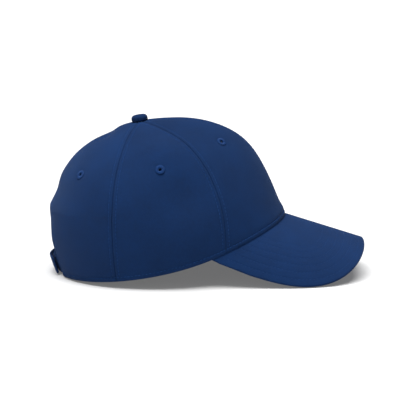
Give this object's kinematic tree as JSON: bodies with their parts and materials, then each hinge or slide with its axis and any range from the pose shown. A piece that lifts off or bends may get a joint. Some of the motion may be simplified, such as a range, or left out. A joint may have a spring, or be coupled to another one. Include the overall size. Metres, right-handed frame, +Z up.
{
  "type": "baseball cap",
  "caption": "Curved-visor cap: sewn cloth crown of shaped panels with eyelets, covered button, sweatband and a hook-and-loop strap across a rear opening.",
  "frame": {"origin": "middle of the cap's box, on the surface it rests on, at the height of the rear hem and the visor's side edges", "axes": "+X towards the tip of the visor, +Y towards the wearer's left, +Z up as the cap rests on a table"},
  "size_m": [0.2729, 0.1636, 0.1369],
  "materials": {
    "crown_cloth": "smooth matt navy twill with a soft sheen",
    "visor_cloth": "smooth matt navy twill, stitched in rows",
    "button_cloth": "navy twill pulled tight over the button",
    "strap_cloth": "folded navy twill, stitched along its edges",
    "sweatband_cloth": "soft brushed navy cotton",
    "binding_tape": "woven navy tape",
    "seam_tape": "woven navy tape, stitched along both edges",
    "buckram": "stiff open-weave white buckram",
    "padding": "thin white felt",
    "thread": "navy embroidery and sewing thread, slightly glossy",
    "steel": "plain stamped steel",
    "visor_board": "flexible white sheet plastic",
    "hook_tape": "navy nylon hook tape",
    "loop_tape": "navy nylon loop pile"
  },
  "bodies": {
    "cap": {"front_panel_left": "crown_cloth", "front_panel_right": "crown_cloth", "side_panel_left": "crown_cloth", "side_panel_right": "crown_cloth", "rear_panel_left": "crown_cloth", "rear_panel_right": "crown_cloth", "buckram_left": "buckram", "buckram_right": "buckram", "front_seam_tape": "seam_tape", "front_side_tape_left": "seam_tape", "front_side_tape_right": "seam_tape", "rear_side_tape_left": "seam_tape", "rear_side_tape_right": "seam_tape", "rear_seam_tape": "seam_tape", "arch_tape": "binding_tape", "sweatband": "sweatband_cloth", "sweatband_padding": "padding", "eyelet_front_left": "thread", "eyelet_front_right": "thread", "eyelet_side_left": "thread", "eyelet_side_right": "thread", "eyelet_rear_left": "thread", "eyelet_rear_right": "thread", "button_cover": "button_cloth", "button_shell": "steel", "button_pin": "steel", "button_washer": "steel", "visor_board": "visor_board", "visor_top_cloth": "visor_cloth", "visor_under_cloth": "visor_cloth", "hook_strap_base": "strap_cloth", "loop_strap_base": "strap_cloth"},
    "strap_middle": {"hook_strap_middle": "strap_cloth"},
    "strap_end": {"hook_strap_end": "strap_cloth", "hook_tape": "hook_tape"},
    "loop_strap": {"loop_strap": "strap_cloth", "loop_tape": "loop_tape"}
  },
  "joints": [
    {"name": "hook_strap_peel", "type": "hinge", "parent": "cap", "child": "strap_middle", "pos_m": [-0.1274, 0.027, 0.0092], "axis": [0, 0, -1], "range_deg": [0, 80]},
    {"name": "hook_strap_tip_peel", "type": "hinge", "parent": "strap_middle", "child": "strap_end", "pos_m": [-0.1334, 0.0053, 0.0081], "axis": [0, 0, -1], "range_deg": [0, 60]},
    {"name": "loop_strap_fold", "type": "hinge", "parent": "cap", "child": "loop_strap", "pos_m": [-0.1229, -0.0256, 0.0102], "axis": [0, 0, -1], "range_deg": [0, 50]}
  ]
}
